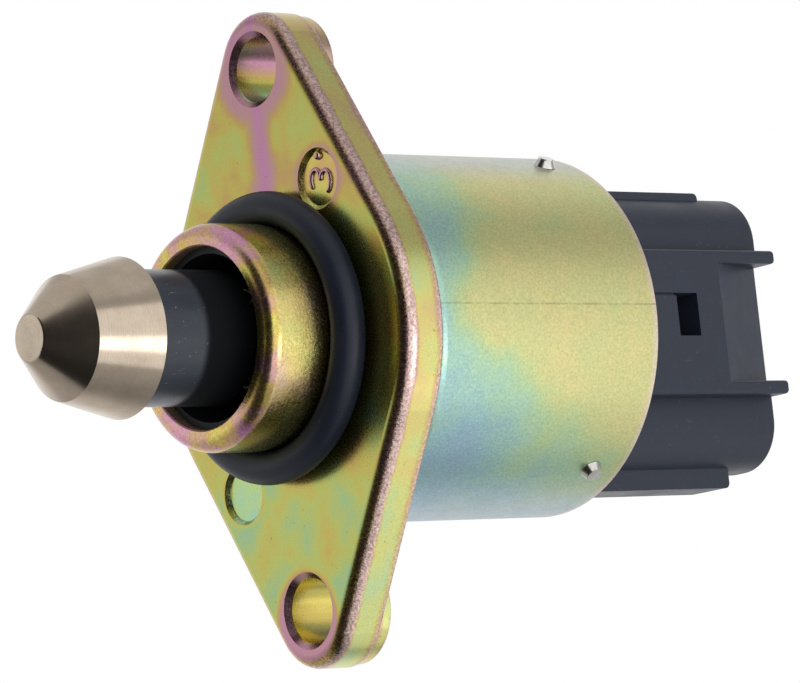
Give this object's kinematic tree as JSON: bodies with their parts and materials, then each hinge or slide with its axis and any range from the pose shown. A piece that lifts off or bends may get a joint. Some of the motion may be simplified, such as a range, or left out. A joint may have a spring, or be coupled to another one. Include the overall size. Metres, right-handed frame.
{
  "type": "idle air control valve",
  "caption": "Stepping-motor air valve: a conical pintle on a lead screw, a two-hole flange with a nose and ring seal, a round can and a four-way socket.",
  "frame": {"origin": "centre of the flange's mounting face, on the valve's axis", "axes": "-X along the pintle into the engine, +X towards the connector, +Z along the line of the two mounting holes"},
  "size_m": [0.0777, 0.0332, 0.056],
  "materials": {
    "zinc_chromate": "steel, yellow chromated zinc, satin with iridescent bands",
    "can_chromate": "drawn steel, pale iridescent chromated zinc",
    "turned_metal": "turned metal, satin, warm tan",
    "stem_plastic": "dark moulded plastic, satin",
    "liner_plastic": "black moulded plastic, matte",
    "housing_plastic": "dark blue grey moulded plastic, satin",
    "seal_rubber": "black rubber, matte",
    "pin_steel": "bright steel",
    "bearing_steel": "ground bearing steel",
    "spring_steel": "drawn spring wire",
    "screw_steel": "rolled thread steel",
    "lamination_steel": "stamped soft iron, bright zinc",
    "cage_brass": "pressed brass",
    "bush_bronze": "sintered bronze",
    "nut_brass": "turned brass",
    "magnet_ferrite": "sintered ferrite, dark grey",
    "coil_copper": "enamelled copper wire",
    "bobbin_plastic": "natural nylon",
    "hub_plastic": "grey acetal",
    "terminal_tin": "tinned brass"
  },
  "bodies": {
    "housing": {"mounting_flange": "zinc_chromate", "flange_o_ring": "seal_rubber", "guide_liner": "liner_plastic", "return_spring": "spring_steel", "bearing_outer_race": "bearing_steel", "rear_bush": "bush_bronze", "wave_washer": "spring_steel", "front_yoke": "lamination_steel", "front_pole_plate": "lamination_steel", "front_bobbin": "bobbin_plastic", "front_coil": "coil_copper", "rear_yoke": "lamination_steel", "rear_pole_plate": "lamination_steel", "rear_bobbin": "bobbin_plastic", "rear_coil": "coil_copper", "motor_can": "can_chromate", "can_pins": "pin_steel", "terminal_pins": "terminal_tin", "coil_leads": "coil_copper", "connector_housing": "housing_plastic", "plug_seal": "seal_rubber"},
    "rotor": {"rotor_hub": "hub_plastic", "rotor_nut": "nut_brass", "rotor_magnet": "magnet_ferrite", "bearing_inner_race": "bearing_steel", "thrust_washer": "bobbin_plastic"},
    "ball_train": {"bearing_balls": "bearing_steel", "bearing_cage": "cage_brass"},
    "pintle": {"pintle_head": "turned_metal", "pintle_sleeve": "stem_plastic", "lead_screw": "screw_steel"}
  },
  "joints": [
    {"name": "rotor_spin", "type": "hinge", "parent": "housing", "child": "rotor", "pos_m": [0, 0, 0], "axis": [1, 0, 0], "range_deg": [-2750, 830]},
    {"name": "ball_orbit", "type": "hinge", "parent": "housing", "child": "ball_train", "pos_m": [0, 0, 0], "axis": [1, 0, 0], "range_deg": [-1200, 400]},
    {"name": "pintle_slide", "type": "slide", "parent": "housing", "child": "pintle", "axis": [-1, 0, 0], "range_m": [-0.0075, 0.0022], "deforming": ["return_spring"]}
  ],
  "couplings": [
    {"joint": "rotor_spin", "follows": "pintle_slide", "rad_per_m": 6283.2},
    {"joint": "ball_orbit", "follows": "pintle_slide", "rad_per_m": 2633.7}
  ]
}
